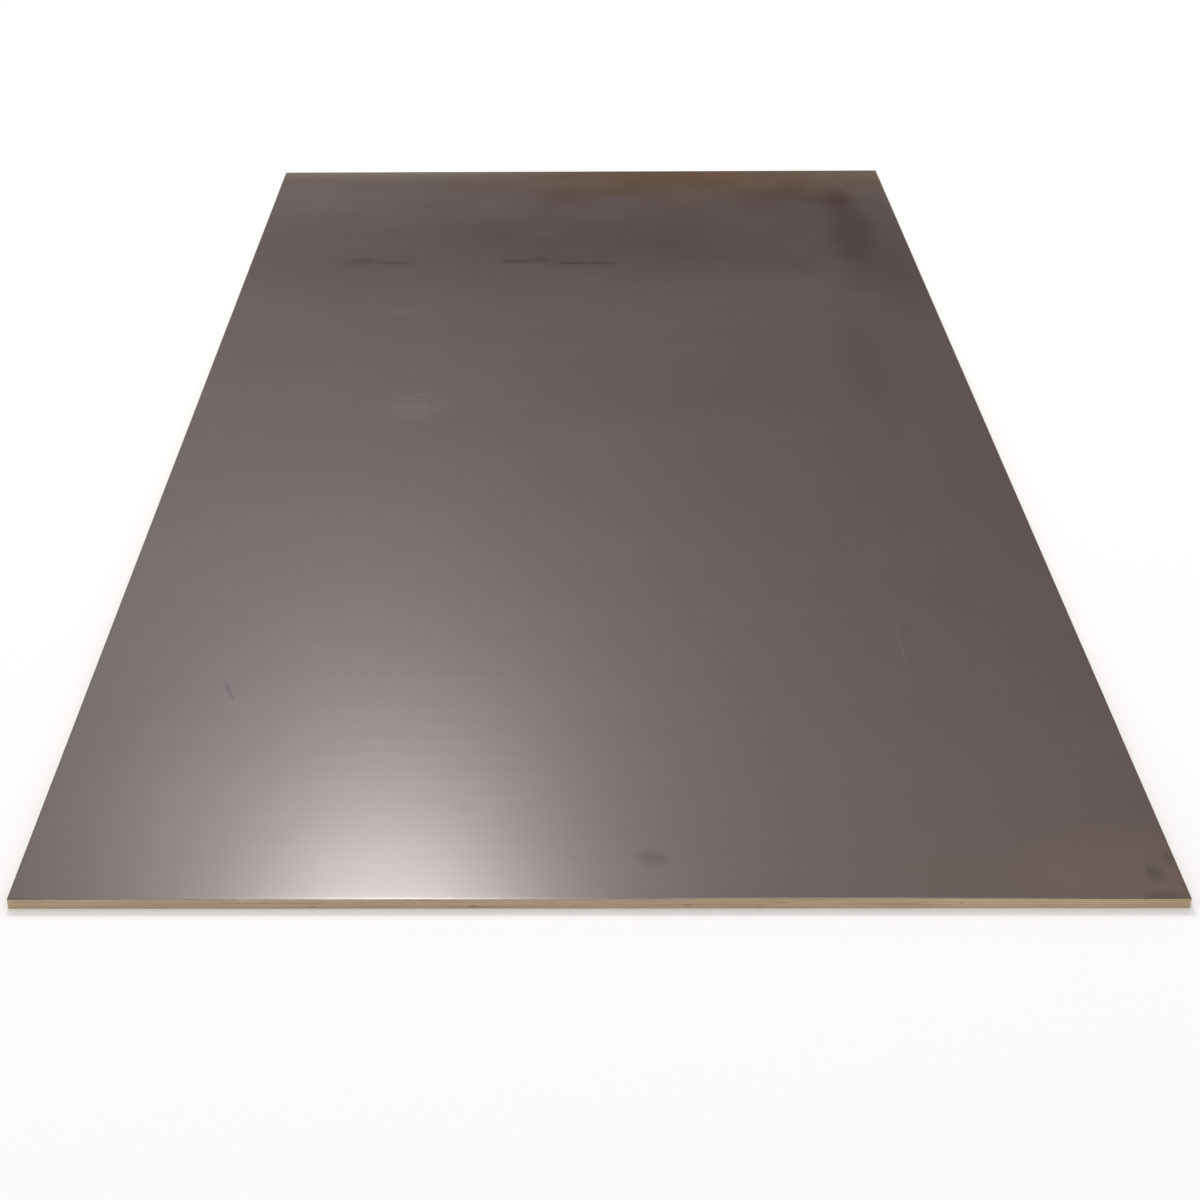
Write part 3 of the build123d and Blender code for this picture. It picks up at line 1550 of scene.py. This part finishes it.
@dataclass(frozen=True)
class Studio:
    """A plain pale floor under a soft studio sky, with one lamp beyond the sheet."""

    floor_radius: float = 45.0
    floor_sides: int = 96
    floor_level: float = -0.05 * MM
    floor_colour: Colour = (0.93, 0.93, 0.93)
    floor_fade: tuple[float, float] = (1.9, 3.6)
    round_sky: tuple[tuple[float, float], ...] = (
        (0.00, 1.00),
        (0.24, 1.00),
        (0.34, 0.60),
        (0.50, 0.80),
        (1.00, 0.90),
    )
    far_sky: tuple[tuple[float, float], ...] = (
        (0.00, 1.00),
        (0.230, 1.00),
        (0.248, 1.00),
        (0.258, 0.00),
        (0.270, 0.00),
        (0.37, 0.02),
        (0.44, 0.68),
        (0.52, 1.66),
        (0.62, 1.82),
        (0.79, 1.32),
        (1.00, 0.90),
    )
    far_side: tuple[float, float] = (0.50, 0.80)
    sky_lean: float = 0.46
    sky_strength: float = 1.70
    lamp_place: tuple[float, float, float] = (-0.94, 5.0, 5.94)
    lamp_aim: tuple[float, float, float] = (-0.2, -1.2, 0.0)
    lamp_width: float = 0.95
    lamp_height: float = 1.4
    lamp_power: float = 214.0
    lamp_colour: Colour = (1.0, 0.92, 0.91)

    def build(self) -> None:
        """Lays the floor, and sets the sky and the lamp."""
        self._lay_floor()
        self._light_sky()
        self._hang_lamp()

    def _lay_floor(self) -> None:
        """Lays a wide round matt floor under the sheet."""
        turns = [2 * math.pi * n / self.floor_sides for n in range(self.floor_sides)]
        radius, level = self.floor_radius, self.floor_level
        rim = [(radius * math.cos(turn), radius * math.sin(turn), level) for turn in turns]
        mesh = bpy.data.meshes.new("studio_floor")
        mesh.from_pydata(rim, [], [tuple(range(self.floor_sides))])
        floor = bpy.data.objects.new("studio_floor", mesh)
        bpy.context.collection.objects.link(floor)
        board = MaterialBoard("studio_floor_matt")
        board.shader.inputs["Base Color"].default_value = (*self.floor_colour, 1.0)
        board.shader.inputs["Roughness"].default_value = 1.0
        board.shader.inputs["Specular IOR Level"].default_value = 0.0
        self._fade_to_white(board)
        mesh.materials.append(board.material)

    def _fade_to_white(self, board: MaterialBoard) -> None:
        """Turns the far floor plain white to the eye, so that it meets the horizon without a line.

        Args:
            board: The floor's nodes.
        """
        path = board.add("ShaderNodeLightPath")
        seen = [path.outputs[name] for name in ("Is Camera Ray", "Is Glossy Ray", "Is Transmission Ray")]
        away = board.vector_sum("LENGTH", board.place())
        far = board.ease(away, *self.floor_fade)
        white = board.add("ShaderNodeEmission")
        mix = board.add("ShaderNodeMixShader")
        board.feed(mix.inputs["Fac"], board.share(far, board.largest(seen)))
        for number, shader in zip(MIX_SHADERS_IN, (board.shader.outputs["BSDF"], white.outputs["Emission"])):
            board.feed(mix.inputs[number], shader)
        board.feed(board.output.inputs["Surface"], mix.outputs["Shader"])

    def _light_sky(self) -> None:
        """Sets a grey sky, with a dim band beyond the far end of the sheet that its film reflects."""
        world = bpy.data.worlds.new("studio_sky")
        world.use_nodes = True
        board = NodeBoard(world.node_tree)
        board.tree.nodes.clear()
        parts = board.add("ShaderNodeSeparateXYZ")
        board.feed(parts.inputs["Vector"], board.add("ShaderNodeTexCoord").outputs["Generated"])
        up = parts.outputs["Z"]
        slant = board.share(board.share(up, parts.outputs["X"]), self.sky_lean)
        leaning = board.sum("SUBTRACT", up, slant)
        beyond = board.ease(parts.outputs["Y"], *self.far_side)
        all_round = self._ramp(board, up, self.round_sky)
        grey = board.blend(beyond, all_round, self._ramp(board, leaning, self.far_sky))
        background = board.add("ShaderNodeBackground")
        background.inputs["Strength"].default_value = self.sky_strength
        board.feed(background.inputs["Color"], grey)
        output = board.add("ShaderNodeOutputWorld")
        board.feed(output.inputs["Surface"], background.outputs["Background"])
        bpy.context.scene.world = world

    def _ramp(self, board: NodeBoard, height: Socket, stops: Sequence[tuple[float, float]]) -> Socket:
        """Turns a height in the sky into its grey.

        Args:
            board: The sky's nodes.
            height: From 0 at the horizon to 1 overhead.
            stops: Heights and the sky's level at each.

        Returns:
            The grey, as a share of the sky's strength.
        """
        ramp = board.add("ShaderNodeValToRGB")
        board.feed(ramp.inputs["Fac"], height)
        ramp.color_ramp.interpolation = "B_SPLINE"
        while len(ramp.color_ramp.elements) < len(stops):
            ramp.color_ramp.elements.new(0.5)
        for stop, (place, level) in zip(ramp.color_ramp.elements, stops):
            stop.position = place
            stop.color = (level / self.sky_strength,) * 3 + (1.0,)
        return ramp.outputs["Color"]

    def _hang_lamp(self) -> None:
        """Hangs the upright lamp whose soft glow lies on the film."""
        data = bpy.data.lights.new("glow_lamp", "AREA")
        data.shape = "RECTANGLE"
        data.size = self.lamp_width
        data.size_y = self.lamp_height
        data.energy = self.lamp_power
        data.color = self.lamp_colour
        lamp = bpy.data.objects.new("glow_lamp", data)
        lamp.location = self.lamp_place
        aim = Vector(self.lamp_aim) - Vector(self.lamp_place)
        lamp.rotation_euler = aim.to_track_quat("-Z", "Y").to_euler()
        bpy.context.collection.objects.link(lamp)


def main() -> None:
    """Sets the camera and the studio, then builds and reports each piece of the sheet."""
    logging.basicConfig(level=logging.INFO, format="%(message)s")
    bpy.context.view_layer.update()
    view = bpy.context.scene.view_settings
    view.view_transform = "Standard"
    PhotoCamera().build()
    Studio().build()
    for piece in DressedSheet(SheetSize.from_frame(NODE), Effects()).build():
        triangles = sum(len(face.vertices) - 2 for face in piece.data.polygons)
        LOG.info("%s: %d triangles, rides on %s", piece.name, triangles, BODY)


if __name__ == "__main__":
    main()
